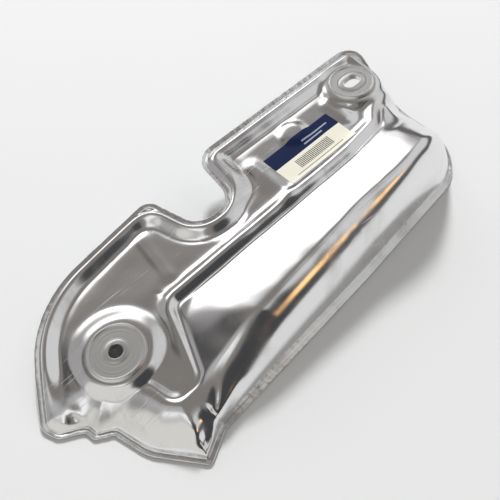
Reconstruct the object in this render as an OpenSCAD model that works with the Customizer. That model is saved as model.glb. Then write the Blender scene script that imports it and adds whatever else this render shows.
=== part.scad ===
// Exhaust heat shield: one pressed aluminium sheet with a domed side, a notch and a
// rolled hem, held by two clinched washer pairs. It lies as it rests on a table.

/* [Sheet] */
// Overall length along X between the outline's end lines
shield_len = 351; // [346:1:360]
// Overall width along Y between the outline's side lines
shield_wid = 164; // [161:1:170]
// Thickness of the sheet
sheet_t = 0.8; // [0.6:0.1:1.2]
// Width of the rolled hem
hem_w = 3; // [2.4:0.1:3.4]
// Thickness of the rolled hem
hem_t = 2.2; // [1.8:0.1:2.8]

/* [Plate] */
// Height of the plate over the origin
plate_z = 28.6; // [26:0.1:31]
// Slope of the plate along its length, in degrees
lean_long = 7.2; // [6:0.1:8]
// Slope of the plate across its width, in degrees
lean_cross = 3; // [2:0.1:4]

/* [Notch] */
// Place of the notch's middle along X
notch_x = -14; // [-20:1:-8]
// Width of the notch between its flanks at the bottom
notch_w = 30; // [28:1:34]
// Depth of the notch from the straight side
notch_depth = 48; // [40:1:53]
// Radius of the two corners at the notch's bottom
notch_r = 16.5; // [12:0.5:17]

/* [Rim and ridge] */
// Height of the raised rim over the plate
rim_h = 4.5; // [3:0.1:6]
// Height of the hem over the plate along the raised rim
rim_lift = 1.5; // [0.5:0.1:2.5]
// Distance from the outline to the rim's crest on the straight side
rim_out = 9.5; // [8:0.5:11]
// Distance from the outline to the rim's crest round the notch and the bow
rim_out_bow = 4.5; // [4:0.5:6]
// Width of the rim's inner wall
rim_in = 6.5; // [5:0.5:8]
// Height of the ridge beside the dome's groove
ridge_h = 3; // [2:0.1:4]
// Depth of the dome's groove
groove_d = 1.2; // [0.6:0.1:2]

/* [Dome] */
// Rise of the dome's crest over the plate
dome_h = 12; // [8:0.5:14]
// Distance from the groove to the dome's crest
dome_run = 60; // [50:1:70]
// Width of the rounded shoulder along the long side
shoulder_w = 22; // [18:1:26]
// Width of the same shoulder close to the tall end
shoulder_tall_w = 15; // [12:1:20]
// Width of the sloping wall at the tall end
end_w = 58; // [50:1:62]
// Width of that wall where it runs out beside the upper fixing
end_back_w = 8.5; // [6:0.5:12]

/* [Lower fixing] */
// Distance of the lower fixing from the low end's line
lower_in = 56.2; // [54:0.1:58]
// Place of the lower fixing along Y
lower_y = -1.1; // [-3:0.1:1]
// Height of the lower boss over the plate
lower_boss_h = 4; // [3:0.1:5]
// Diameter of the lower washers
lower_d = 37; // [34:0.5:38]
// Diameter of the round bore for the bolt
bore_d = 9; // [8:0.1:10]

/* [Upper fixing] */
// Distance of the upper fixing from the tall end's line
upper_in = 47.2; // [46:0.1:49]
// Distance of the upper fixing from the straight side's line
upper_down = 32.2; // [31:0.1:34]
// Height of the upper boss over the plate
upper_boss_h = 3; // [2:0.1:4]
// Diameter of the upper washers
upper_d = 34; // [32:0.5:35]
// Length of the slot
slot_len = 14; // [12:0.5:16]
// Width of the slot
slot_w = 9; // [8:0.1:10]

/* [Washers and eyelets] */
// Thickness of each washer
washer_t = 1.2; // [0.8:0.1:1.6]
// Height of each washer's raised rim
washer_rim_h = 0.6; // [0.4:0.1:1]
// Wall of each eyelet
eyelet_wall = 1; // [0.8:0.1:1.4]
// Width of each eyelet's clinched lip beyond its wall
lip_w = 2.6; // [2:0.1:3.2]
// Thickness of each eyelet's lip
lip_t = 0.8; // [0.6:0.1:1]
// Clearance between pieces that seat on or pass through each other
seat_gap = 0.05; // [0.02:0.01:0.1]
// Width of each flat seat beyond its washers
seat_edge = 4; // [3:0.5:5]

/* [Label] */
// Length of the paper label
label_len = 60; // [50:1:62]
// Width of the paper label
label_wid = 30; // [26:1:32]
// Thickness of the paper label
label_t = 0.2; // [0.1:0.05:0.3]
// Distance of the label's middle from the tall end's line
label_in = 109; // [107:0.5:111]
// Distance of the label's middle from the straight side's line
label_down = 52.5; // [51:0.5:54]
// Clearance between the label and the sheet under it
label_gap = 1; // [0.9:0.1:1.2]

/* [Hidden] */
$fn = 64;

xl = -shield_len / 2;
xr = shield_len / 2;
yb = -shield_wid / 2;
yt = shield_wid / 2;
notch_l = notch_x - notch_w / 2;
notch_rt = notch_x + notch_w / 2;
notch_y = yt - notch_depth;
lower_x = xl + lower_in;
upper_x = xr - upper_in;
upper_y = yt - upper_down;
label_x = xr - label_in;
label_y = yt - label_down;

// Corners of the outline as x, y and fillet radius, turning left from the low corner
outline = [
    [xl + 59, yb - 0.9, 3], [xl + 77, yb + 9, 12], [xl + 213, yb + 24.6, 400],
    [xr - 1, yb + 44, 50], [xr, yt - 68, 22], [xr - 20.2, yt - 36.5, 14], [xr - 18.5, yt - 1.5, 12],
    [notch_rt + 5, yt, 16], [notch_rt, notch_y, notch_r], [notch_l, notch_y, notch_r],
    [notch_l - 11, yt - 5, 9], [xl + 35, yt - 19, 75], [xl - 0.5, yt - 87, 8],
    [xl + 3.5, yt - 97, 6], [xl + 17.5, yt - 104, 3], [xl + 19, yt - 111, 2],
    [xl + 29, yt - 116, 3], [xl + 36, yt - 138, 30]
];
// Numbers of the four outline corners at which the sheet's grid has its own corners
LOW = 0;
RIGHT = 3;
TOP = 6;
LEFT = 12;
// Numbers of the corners behind the notch and at the bow before it, with the room beside each
NOTCH = 7;
NOTCH_ROOM = 4.4;
BOW = 10;
BOW_ROOM = 12.5;

// Corners of the groove between the plate and the dome, from the bow to the tall end
groove = [
    [xl - 11, -22, 0], [xl + 58.5, -26, 8], [xl + 63.5, -47.5, 9], [xl + 82.5, -47.5, 9],
    [xl + 100.5, 0.5, 7], [xr - 92.5, 3.5, 60], [xr - 59.5, 9, 15], [xr - 46.5, 21, 8], [xr + 2, 16, 0]
];
// Corners of the line at which the tall end's wall meets the hem, walked away from the low side
end_line = [[xr, yb, 0], [xr, yt - 68, 22], [xr - 20.2, yt - 36.5, 0]];

function smooth(t) = let (c = full(t)) c * c * (3 - 2 * c);
function mix(a, b, t) = a + (b - a) * t;
function full(t) = max(0, min(1, t));
function bulge(t, n) = pow(1 - pow(1 - t, n), 1 / n);
function bell(t) = exp(-t * t);
function flat(p) = [p[0], p[1]];
function unit(v) = v / norm(v);
function turn(a, b) = a[0] * b[1] - a[1] * b[0];

// Fillet at corner i of a path: start, end, centre, radius and turning side
function fillet(path, i) =
    let (
        n = len(path),
        b = flat(path[i]),
        into = unit(b - flat(path[(i + n - 1) % n])),
        away = unit(flat(path[(i + 1) % n]) - b),
        side = turn(into, away) > 0 ? 1 : -1,
        reach = path[i][2] * tan(acos(into * away) / 2),
        start = b - into * reach
    ) [start, b + away * reach, start + side * path[i][2] * [-into[1], into[0]], path[i][2], side];

// Fillets of a closed path, or of an open one with bare ends
function fillets(path, closed) = [
    for (i = [0 : len(path) - 1])
        closed || (i > 0 && i < len(path) - 1)
            ? fillet(path, i)
            : [flat(path[i]), flat(path[i]), flat(path[i]), 0, 1]
];

// Signed distance to one fillet, positive on the path's right side, or far away past its ends
function arc_side(p, f) =
    let (w = p - f[2])
        f[3] > 0 && turn(f[0] - f[2], w) * f[4] >= 0 && turn(w, f[1] - f[2]) * f[4] >= 0
            ? f[4] * (norm(w) - f[3]) : 1e6;

// Signed distance to one straight stretch, positive on its right side
function line_side(p, a, b) =
    let (
        u = b - a,
        t = max(0, min(1, (p - a) * u / max(u * u, 1e-9))),
        gap = norm(p - a - t * u)
    ) turn(u, p - a) > 0 ? -gap : gap;

// Signed distance to a whole path
function side(p, arcs, closed) =
    let (
        n = len(arcs),
        all = concat(
            [for (f = arcs) arc_side(p, f)],
            [for (i = [0 : closed ? n - 1 : n - 2]) line_side(p, arcs[i][1], arcs[(i + 1) % n][0])]
        ),
        low = min([for (q = all) abs(q)])
    ) [for (q = all) if (abs(q) == low) q][0];

edge_arcs = fillets(outline, true);
groove_arcs = fillets(groove, false);
end_arcs = fillets(end_line, false);

// Height of the bare plate
function plate(p) = plate_z + tan(lean_long) * p[0] - tan(lean_cross) / cos(lean_long) * p[1];

// Distance from a point to a straight stretch between two points
function reach_to(p, a, b) = abs(line_side(p, a, b));

// How far the outline has risen from the floor to the raised rim, from 0 to 1
function rise(p) =
    let (late = smooth((p[0] - xr + 125.5) / 108))
        smooth((p[1] - yt + mix(94, 72, late)) / mix(35, 62, late));

// Height of the hem's top face
function hem_z(p) = mix(hem_t, plate(p) + rim_lift, rise(p));

// How fully a boss holds the sheet at its own height, from 1 on its flat seat to 0 past its flank
function seat(p, c, d, flank) = 1 - smooth((norm(p - c) - d / 2 - seat_edge) / flank);

// Height of the dome, its groove and the ridge beside it
function dome(p) =
    let (
        q = side(p, groove_arcs, false),
        soft = (q + sqrt(q * q + 6)) / 2,
        grown = smooth((p[0] - xl - 38.5) / 60),
        crest = (q + 6) / (q > -6 ? 3 : 5)
    ) dome_h * grown * sin(90 * min(1, soft / dome_run))
        - groove_d * bell(q / 1.8) * smooth((p[0] - xl - 53.5) / 10)
        + ridge_h * bell(crest) * mix(0.1, 1, smooth((p[0] - xl - 78.5) / 22));

// Height of the raised rim at distance d from the outline
function rim(p, d) =
    let (
        out = mix(rim_out_bow, rim_out, smooth((p[0] - notch_rt - 1) / 18)),
        in = d - out
    ) rim_h * smooth(d / out) * (1 - smooth(in / rim_in)) - 0.9 * bell((in - rim_in) / 1.8);

// Small pressed forms on the plate: round emboss, ribs, pad and the pillow at the groove's end
function forms(p) =
    let (rib_x = notch_rt + 27, pad_x = upper_x - 23.3)
        2 * (1 - smooth((norm(p - [label_x + 1.5, label_y + 18.5]) - 6) / 7.5))
        + 1.6 * bell(reach_to(p, [rib_x, yt - 68], [rib_x, yt - 36]) / 6)
        + 1.8 * (1 - smooth((reach_to(p, [pad_x, upper_y - 19.8], [pad_x, upper_y + 1.2]) - 3) / 4))
        + bell(reach_to(p, [notch_l - 36, yt - 62], [notch_l - 33, yt - 28]) / 5)
        + 1.7 * bell(norm(p - [upper_x + 2.7, upper_y - 31.8]) / 6);

// Height of the sheet's top face at point p, d inside the outline
function sheet_z(p, d) =
    let (
        up = rise(p),
        low_seat = seat(p, [lower_x, lower_y], lower_d, 9),
        high_seat = seat(p, [upper_x, upper_y], upper_d, 5),
        roof = plate(p) + dome(p) + up * rim(p, d) + forms(p),
        side_w = mix(mix(shoulder_w, shoulder_tall_w, smooth((p[0] - xr + 135) / 60)), 6, up),
        wall_w = mix(end_w, end_back_w, smooth((p[1] - yt + 82) / 43)),
        wall = full((abs(side(p, end_arcs, false)) - hem_w) / wall_w),
        round = bulge(full((d - hem_w) / side_w), 2) * mix(bulge(wall, 1.35), smooth(wall), 0.25),
        low = mix(mix(hem_z(p), roof, round), plate(p) + lower_boss_h, low_seat)
    ) mix(low, plate(p) + upper_boss_h, high_seat);

// Point p, or if it lies close to the rim of a washer seat of diameter d, the rim's nearest point
function onto_rim(p, c, d) =
    let (r = norm(p - c), rim = d / 2 + 1.5)
        abs(r - rim) < 6 ? c + (p - c) * rim / r : p;

// Running lengths along a list of points
function run(pts) = [
    for (i = 0, s = 0; i < len(pts); i = i + 1, s = i < len(pts) ? s + norm(pts[i] - pts[i - 1]) : s) s
];

// Points of fillet i, of its first half, of its second half or of all of it
function arc_points(arcs, i, from, to) =
    let (f = arcs[i], a = f[0] - f[2], swing = f[4] * acos(max(-1, min(1, unit(a) * unit(f[1] - f[2])))))
        [for (k = [from : to]) let (g = swing * k / 16)
            f[2] + [a[0] * cos(g) - a[1] * sin(g), a[0] * sin(g) + a[1] * cos(g)]];

// Points of the outline between the middles of two corners
function chain(a, b) =
    let (n = len(outline), last = b > a ? b : b + n)
        [for (i = [a : last])
            each arc_points(edge_arcs, i % n, i == a ? 8 : 0, i == last ? 8 : 16)];

function reversed(list) = [for (i = [len(list) - 1 : -1 : 0]) list[i]];

// A path made ready to be read by its running length
function ruler(pts) =
    let (s = run(pts))
        [[for (i = [0 : len(s) - 1]) [s[i], pts[i][0]]],
         [for (i = [0 : len(s) - 1]) [s[i], pts[i][1]]],
         s[len(s) - 1]];
function at(ruler, s) = [lookup(s, ruler[0]), lookup(s, ruler[1])];

// Distances of the grid's first lines from the outline
near = [0, 1.5, 3, 3.7, 5.5, 8.5, 12.5, 17.5, 23.5];

// Lengths along the top chain, total long, at which the grid has its columns
function stations(total, bow, notch_end) =
    let (first = near[len(near) - 1])
        concat(near,
            [for (k = [1 : 13]) mix(first, bow, k / 13)],
            [for (k = [1 : 32]) mix(bow, notch_end, k / 32)],
            [for (k = [1 : 13]) mix(notch_end, total - first, k / 13)],
            [for (k = [len(near) - 2 : -1 : 0]) total - near[k]]);

module shield() {
    top = ruler(reversed(chain(TOP, LEFT)));
    low = ruler(chain(LOW, RIGHT));
    left = ruler(reversed(chain(LEFT, LOW)));
    right = ruler(chain(RIGHT, TOP));
    left_mid = 60;
    right_mid = 42;
    seam = ruler(concat(
        [at(left, left_mid)],
        [[xl + 75.5, -18], [xl + 99.5, 2], [notch_x - 16, 2], [notch_x + 44, 2.5]],
        [[xr - 92.5, 4], [xr - 59.5, 10], [xr - 45.5, 19]],
        [at(right, right_mid)]));
    // Lengths on the top chain close before the bow and behind the notch
    bow = top[2] - ruler(chain(TOP, BOW))[2] - BOW_ROOM;
    notch_end = top[2] - ruler(chain(TOP, NOTCH))[2] + NOTCH_ROOM;
    cols = stations(top[2], bow, notch_end);
    // Matching lengths on the top chain, the seam and the low chain
    match = [[0, 0, 0], [near[8], 22, 18], [bow * 0.57, seam[2] * 0.163, low[2] * 0.18],
             [bow, seam[2] * 0.303, low[2] * 0.278], [notch_end, seam[2] * 0.49, low[2] * 0.493],
             [top[2] - near[8], seam[2] - 22, low[2] - 20], [top[2], seam[2], low[2]]];
    to_seam = [for (m = match) [m[0], m[1]]];
    to_low = [for (m = match) [m[0], m[2]]];
    low_rows = len(near) + 6;
    top_rows = len(near) + 5;
    ncol = len(cols);
    nrow = low_rows + top_rows - 1;
    // Share of the way along a rung at which line j of a half lies
    function share(j, count, whole) =
        let (m = len(near))
            j < m ? near[j] / whole : mix(near[m - 1] / whole, 1, (j - m + 1) / (count - m));
    // Point of the grid at column i and row j, in plan
    function plan(i, j) =
        let (
            u = cols[i] / top[2],
            lower = j < low_rows,
            k = lower ? j : nrow - 1 - j,
            count = lower ? low_rows : top_rows,
            s = cols[i],
            a = lower ? at(low, lookup(s, to_low)) : at(top, s),
            b = at(seam, lookup(s, to_seam)),
            a0 = lower ? at(low, 0) : at(top, 0),
            b0 = at(seam, 0),
            a1 = lower ? at(low, low[2]) : at(top, top[2]),
            b1 = at(seam, seam[2]),
            t = share(k, count, norm(b - a)),
            t0 = share(k, count, lower ? left_mid : left[2] - left_mid),
            t1 = share(k, count, lower ? right_mid : right[2] - right_mid),
            end0 = lower ? at(left, t0 * left_mid) : at(left, left[2] - t0 * (left[2] - left_mid)),
            end1 = lower ? at(right, t1 * right_mid) : at(right, right[2] - t1 * (right[2] - right_mid))
        ) mix(a, b, t) + pow(1 - u, 6) * (end0 - mix(a0, b0, t0)) + pow(u, 6) * (end1 - mix(a1, b1, t1));
    grid = [for (i = [0 : ncol - 1]) [for (j = [0 : nrow - 1])
        onto_rim(onto_rim(plan(i, j), [lower_x, lower_y], lower_d), [upper_x, upper_y], upper_d)]];
    far = [for (c = grid) [for (p = c) abs(side(p, edge_arcs, true))]];
    face = [for (i = [0 : ncol - 1]) [for (j = [0 : nrow - 1])
        let (p = grid[i][j], edge = i == 0 || j == 0 || i == ncol - 1 || j == nrow - 1)
            [p[0], p[1], sheet_z(p, edge ? 0 : far[i][j])]]];
    back = [for (i = [0 : ncol - 1]) [for (j = [0 : nrow - 1])
        let (
            du = face[min(i + 1, ncol - 1)][j] - face[max(i - 1, 0)][j],
            dv = face[i][min(j + 1, nrow - 1)] - face[i][max(j - 1, 0)],
            hem = far[i][j] < hem_w - 0.2
        ) face[i][j] - (hem ? [0, 0, hem_t] : sheet_t * unit(cross(du, dv)))]];
    // Outline of the grid as column and row numbers, turning left
    loop = concat(
        [for (i = [0 : ncol - 2]) [i, 0]],
        [for (j = [0 : nrow - 2]) [ncol - 1, j]],
        [for (i = [ncol - 1 : -1 : 1]) [i, nrow - 1]],
        [for (j = [nrow - 1 : -1 : 1]) [0, j]]);
    m = len(loop);
    function edge_point(k) = let (c = loop[(k + m) % m]) face[c[0]][c[1]];
    // Rounded outside of the hem, as three rings of points
    bends = [45, 90, 135];
    rings = [for (g = bends) [for (k = [0 : m - 1])
        let (along = unit(flat(edge_point(k + 1) - edge_point(k - 1))))
            edge_point(k) + [along[1] * 0.4 * hem_t * sin(g), -along[0] * 0.4 * hem_t * sin(g),
                             -hem_t / 2 * (1 - cos(g))]]];
    cells = ncol * nrow;
    function id(c) = c[0] * nrow + c[1];
    // Number of point k on ring r, from the face's edge to the back's
    function ring_id(r, k) =
        r == 0 ? id(loop[k % m]) : r == len(bends) + 1 ? cells + id(loop[k % m])
            : 2 * cells + (r - 1) * m + k % m;
    points = concat([for (c = face) each c], [for (c = back) each c], [for (r = rings) each r]);
    faces = concat(
        [for (i = [0 : ncol - 2], j = [0 : nrow - 2], h = [0, 1])
            let (a = id([i, j]), b = id([i + 1, j]), c = id([i + 1, j + 1]), d = id([i, j + 1]))
                h == 0 ? [a, c, b] : [a, d, c]],
        [for (i = [0 : ncol - 2], j = [0 : nrow - 2], h = [0, 1])
            let (a = cells + id([i, j]), b = cells + id([i + 1, j]),
                 c = cells + id([i + 1, j + 1]), d = cells + id([i, j + 1]))
                h == 0 ? [a, b, c] : [a, c, d]],
        [for (r = [0 : len(bends)], k = [0 : m - 1], h = [0, 1])
            let (a = ring_id(r, k), b = ring_id(r, k + 1), c = ring_id(r + 1, k + 1), d = ring_id(r + 1, k))
                h == 0 ? [a, b, c] : [a, c, d]]);
    color("silver")
        difference() {
            polyhedron(points, faces, convexity = 8);
            on_plate([lower_x, lower_y], lower_boss_h)
                cylinder(h = 12, d = bore_d + 2 * (eyelet_wall + seat_gap), center = true);
            on_plate([upper_x, upper_y], upper_boss_h)
                slot_prism(slot_w / 2 + eyelet_wall + seat_gap, 12);
        }
}

// Places a child on the plate, lifted along Z and square to the plate
module on_plate(p, lift) {
    translate([p[0], p[1], plate(p) + lift])
        rotate([-lean_cross, -lean_long, 0])
            children();
}

// Straight slot's prism with round ends of radius r, centred on the plate's face
module slot_prism(r, h) {
    travel = slot_len - slot_w;
    for (s = [-1, 1])
        translate([s * travel / 2, 0, 0])
            cylinder(h = h, r = r, center = true);
    cube([travel, 2 * r, h], center = true);
}

// Dished washer standing on z = 0, its raised rim up, before its hole is cut
module dished_blank(d) {
    rotate_extrude()
        polygon([
            [0, 0], [d / 2 - 0.4, 0], [d / 2, 0.4], [d / 2, washer_t + washer_rim_h - 0.3],
            [d / 2 - 0.6, washer_t + washer_rim_h], [d / 2 - 1.6, washer_t + washer_rim_h],
            [d / 2 - 2.6, washer_t], [0, washer_t]
        ]);
}

// Round eyelet: a tube with a lip at each end, its mid-plane at z = 0
module round_eyelet(half_grip) {
    r = bore_d / 2;
    rotate_extrude()
        polygon([
            [r, -half_grip - lip_t], [r + eyelet_wall + lip_w, -half_grip - lip_t],
            [r + eyelet_wall + lip_w, -half_grip], [r + eyelet_wall, -half_grip],
            [r + eyelet_wall, half_grip], [r + eyelet_wall + lip_w, half_grip],
            [r + eyelet_wall + lip_w, half_grip + lip_t], [r, half_grip + lip_t]
        ]);
}

// Half the height gripped between an eyelet's lips: sheet, two washers and their gaps
half_grip = sheet_t / 2 + washer_t + 2 * seat_gap;

module lower_front_washer() {
    color("darkgray")
        on_plate([lower_x, lower_y], lower_boss_h)
            translate([0, 0, seat_gap])
                difference() {
                    dished_blank(lower_d);
                    cylinder(h = 12, r = bore_d / 2 + eyelet_wall + seat_gap, center = true);
                }
}

module lower_back_washer() {
    color("darkgray")
        on_plate([lower_x, lower_y], lower_boss_h)
            translate([0, 0, -sheet_t - seat_gap])
                mirror([0, 0, 1])
                    difference() {
                        dished_blank(lower_d);
                        cylinder(h = 12, r = bore_d / 2 + eyelet_wall + seat_gap, center = true);
                    }
}

module lower_eyelet() {
    color("gray")
        on_plate([lower_x, lower_y], lower_boss_h)
            translate([0, 0, -sheet_t / 2])
                round_eyelet(half_grip);
}

module upper_front_washer() {
    color("darkgray")
        on_plate([upper_x, upper_y], upper_boss_h)
            translate([0, 0, seat_gap])
                difference() {
                    dished_blank(upper_d);
                    slot_prism(slot_w / 2 + eyelet_wall + seat_gap, 12);
                }
}

module upper_back_washer() {
    color("darkgray")
        on_plate([upper_x, upper_y], upper_boss_h)
            translate([0, 0, -sheet_t - seat_gap])
                mirror([0, 0, 1])
                    difference() {
                        dished_blank(upper_d);
                        slot_prism(slot_w / 2 + eyelet_wall + seat_gap, 12);
                    }
}

module upper_eyelet() {
    r = slot_w / 2;
    color("gray")
        on_plate([upper_x, upper_y], upper_boss_h)
            translate([0, 0, -sheet_t / 2])
                difference() {
                    union() {
                        slot_prism(r + eyelet_wall, 2 * half_grip);
                        for (s = [-1, 1])
                            translate([0, 0, s * (half_grip + lip_t / 2)])
                                slot_prism(r + eyelet_wall + lip_w, lip_t);
                    }
                    slot_prism(r, 12);
                }
}

// Paper label that lies on the plate and bends over the forms under it
module label() {
    nx = 20;
    ny = 10;
    function spot(i, j) =
        [label_x + label_len * (i / nx - 0.5), label_y + label_wid * (j / ny - 0.5)];
    function height(p) = sheet_z(p, abs(side(p, edge_arcs, true))) + label_gap;
    base = [for (i = [0 : nx]) each [for (j = [0 : ny]) let (p = spot(i, j)) [p[0], p[1], height(p)]]];
    count = len(base);
    function id(i, j) = i * (ny + 1) + j;
    rim = concat(
        [for (i = [0 : nx - 1]) id(i, 0)], [for (j = [0 : ny - 1]) id(nx, j)],
        [for (i = [nx : -1 : 1]) id(i, ny)], [for (j = [ny : -1 : 1]) id(0, j)]);
    m = len(rim);
    faces = concat(
        [for (i = [0 : nx - 1], j = [0 : ny - 1], h = [0, 1])
            let (a = id(i, j), b = id(i + 1, j), c = id(i + 1, j + 1), d = id(i, j + 1))
                h == 0 ? [a, b, c] : [a, c, d]],
        [for (i = [0 : nx - 1], j = [0 : ny - 1], h = [0, 1])
            let (a = count + id(i, j), b = count + id(i + 1, j),
                 c = count + id(i + 1, j + 1), d = count + id(i, j + 1))
                h == 0 ? [a, c, b] : [a, d, c]],
        [for (k = [0 : m - 1], h = [0, 1])
            let (a = rim[k], b = rim[(k + 1) % m])
                h == 0 ? [a, count + b, b] : [a, count + a, count + b]]);
    color("ivory")
        polyhedron(concat(base, [for (p = base) p + [0, 0, label_t]]), faces);
}

shield();
lower_front_washer();
lower_back_washer();
lower_eyelet();
upper_front_washer();
upper_back_washer();
upper_eyelet();
label();
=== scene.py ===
import math

import bmesh
import bpy
import numpy as np
from mathutils import Matrix, Vector


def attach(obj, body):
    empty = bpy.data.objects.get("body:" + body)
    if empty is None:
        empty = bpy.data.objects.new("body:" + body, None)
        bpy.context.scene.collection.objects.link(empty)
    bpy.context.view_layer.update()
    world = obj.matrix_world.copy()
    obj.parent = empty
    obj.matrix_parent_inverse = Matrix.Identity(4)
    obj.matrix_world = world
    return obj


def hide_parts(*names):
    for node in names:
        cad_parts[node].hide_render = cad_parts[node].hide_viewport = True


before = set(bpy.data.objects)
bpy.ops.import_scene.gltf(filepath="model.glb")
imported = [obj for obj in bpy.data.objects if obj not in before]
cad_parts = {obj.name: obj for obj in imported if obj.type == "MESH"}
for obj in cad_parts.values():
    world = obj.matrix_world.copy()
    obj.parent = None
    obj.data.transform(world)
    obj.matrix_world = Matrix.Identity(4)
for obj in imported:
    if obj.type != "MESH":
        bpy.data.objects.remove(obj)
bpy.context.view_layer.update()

bl_info = {
    "name": "Exhaust heat shield",
    "version": (1, 0, 0),
    "blender": (4, 5, 0),
    "location": "3D View > Sidebar > Heat shield",
    "description": "Makes a pressed aluminium exhaust heat shield with its washers, eyelets and label",
    "category": "Add Mesh",
}

MM = 0.001

# Fields of the room that the metal mirrors, each over the ones before it: bearing from the camera's way and
# half width, lowest and highest angle over the floor and softness, in degrees, and colour
PLAIN_ROOM = (0.22, 0.205, 0.19)
ROOM = [
    (-20, 34, 34, 52, 7, (0.3, 0.29, 0.28)),
    (45, 62, -20, 16, 5, (0.12, 0.115, 0.12)),
    (58, 52, 20, 70, 8, (0.68, 0.68, 0.68)),
    (-85, 30, -20, 42, 9, (0.38, 0.37, 0.37)),
    (-108, 30, 50, 74, 8, (0.46, 0.46, 0.46)),
    (-69, 10, 41, 52, 5, (0.055, 0.055, 0.055)),
    (-150, 42, -20, 51, 5, (0.72, 0.71, 0.67)),
    (-138, 26, 55, 70, 4, (1.0, 1.0, 1.0)),
    (135, 29, -20, 72, 6, (0.055, 0.057, 0.06)),
    (-28, 24, 15, 39, 7, (2.0, 2.0, 2.0)),
    (109, 5, 18, 31, 4, (1.8, 1.05, 0.45)),
]

# Camera and lamp, in metres, with x and y of the way the camera faces over the floor. The lamp's place is to
# the right, away and up, as the camera sees it
CAMERA_AT, CAMERA_DIP, LENS, SENSOR, CLIP = (-0.167, -0.172, 0.349), 55, 45, 36, 0.01
FACING = (0.6626, 0.749)
LAMP_WAY, LAMP_AIM, LAMP_SIZE, LAMP_POWER = (-0.3, 3.6, 3.05), (0, 0, 0.03), 0.7, 194

# Floor, and all that follows, in millimetres and degrees
FLOOR_HALF, FLOOR_COLOUR = 6000, (0.8, 0.81, 0.815)

# Plan of the sheet
LENGTH, WIDTH = 351.0, 164.0
XL, XR, YB, YT = -LENGTH / 2, LENGTH / 2, -WIDTH / 2, WIDTH / 2
NOTCH_X, NOTCH_W, NOTCH_DEPTH, NOTCH_R = -14.0, 30.0, 48.0, 16.5
NOTCH_L, NOTCH_RT, NOTCH_Y = NOTCH_X - NOTCH_W / 2, NOTCH_X + NOTCH_W / 2, YT - NOTCH_DEPTH

# Corners of the outline as x, y and fillet radius, turning left from the low corner
OUTLINE = [
    (XL + 59, YB - 0.9, 3), (XL + 77, YB + 9, 12), (XL + 213, YB + 24.6, 400),
    (XR - 1, YB + 44, 50), (XR, YT - 68, 22), (XR - 20.2, YT - 36.5, 14), (XR - 18.5, YT - 1.5, 12),
    (NOTCH_RT + 5, YT, 16), (NOTCH_RT, NOTCH_Y, NOTCH_R), (NOTCH_L, NOTCH_Y, NOTCH_R),
    (NOTCH_L - 11, YT - 5, 9), (XL + 35, YT - 19, 75), (XL - 0.5, YT - 87, 8),
    (XL + 3.5, YT - 97, 6), (XL + 17.5, YT - 104, 3), (XL + 19, YT - 111, 2),
    (XL + 29, YT - 116, 3), (XL + 36, YT - 138, 30),
]
LOW, RIGHT, TALL_END, TOP, NOTCH_MOUTH, LEFT = 0, 3, 4, 6, 10, 12

# Corners of the groove between the plate and the dome, from the bow to the tall end
GROOVE = [
    (XL - 11, -22, 0), (-117, -26, 8), (-112, -47.5, 9), (-93, -47.5, 9), (-75, 0.5, 7),
    (83, 3.5, 60), (116, 9, 15), (129, 21, 8), (XR + 2, 16, 0),
]
DOME_CORNER = 4

# Fillets where the rim and the dome turn a corner in a wider arc than the edge and the groove
RIM_MOUTH_R, DOME_CORNER_R = 24, 40

# Plate, sheet and fixings
PLATE_Z, LEAN_LONG, LEAN_CROSS = 28.6, 7.2, 3.0
SHEET_T, HEM_W, HEM_T = 0.8, 3.0, 2.2
LOWER, UPPER = (-119.3, -1.1), (128.3, 49.8)
LOWER_LIFT, UPPER_LIFT = 4.0, 3.0
LOWER_D, UPPER_D = 37.0, 34.0
BORE_D, SLOT_TRAVEL = 9.0, 5.0
WASHER_T, BEAD_H, EYELET_WALL, LIP_W, LIP_T, SEAT_GAP = 1.2, 0.6, 1.0, 2.2, 0.4, 0.05
LABEL_AT, LABEL_SIZE, LABEL_T, LABEL_GAP = (66.5, 29.5), (60.0, 30.0), 0.15, 0.03
LABEL_CELLS = (120, 60)

# Radius of the hole round an eyelet, the punch that cuts it, and the number of points round a fixing
CLEAR_R = BORE_D / 2 + EYELET_WALL + SEAT_GAP
PUNCH_POINTS, PUNCH_REACH, RING_POINTS = 64, 6, 128

# How far the sheet dips at its edge, inside the hem, and where that ends, as start and run from the outline
EDGE_TUCK, TUCK_FADE = 1.0, (2.2, 1.2)

# Hem: spacing of its path's points, how far they lie inside the outline and their lift, then the sweep's
# step, the roll's rounding, the depth of its crimps and its lean
HEM_SPACING, HEM_INSET, HEM_LIFT = 1.2, 0.75, 0.02
HEM_STEP, HEM_ROUND, HEM_CRIMP, HEM_LEAN = 0.6, 0.5, 0.5, -16

# Thin circles round a washer's face: distance from its bore or its edge and depth, then half widths at the
# top and at the floor
BORE_CIRCLE, EDGE_CIRCLES = (3.6, 0.05), ((7.8, 0.03), (6.4, 0.04), (4.2, 0.03))
CIRCLE_HALF, CIRCLE_FLOOR = 0.45, 0.15
# Raised bead near a washer's edge: distance from it, half widths inside and outside, and drop outside
BEAD_IN, BEAD_HALF_IN, BEAD_HALF_OUT, BEAD_DROP = 1.35, 0.8, 0.96, 0.25
# Radius where an eyelet's bore rolls out into its lip
EYELET_ROLL = 0.35

# Flat seats of the washers: margin round a washer, and the flanks down to the plate. The lower one is
# narrow on one side and wide towards the way given
SEAT_MARGIN, UPPER_FLANK, LOWER_FLANK, WIDE_WAY = 1.5, 6, (7, 14), (0.66, 0.75)

# The edge's rise from the floor to the raised rim, as start and run across the sheet. One pair is for the
# low end and one for the tall end, and the third is where along the sheet the one turns into the other.
# Last is how far the raised edge lies over the plate
LOW_RISE, TALL_RISE, RISE_TURN, RAISED_LIFT = (-12, 35), (10, 62), (50, 108), 1.5

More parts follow.
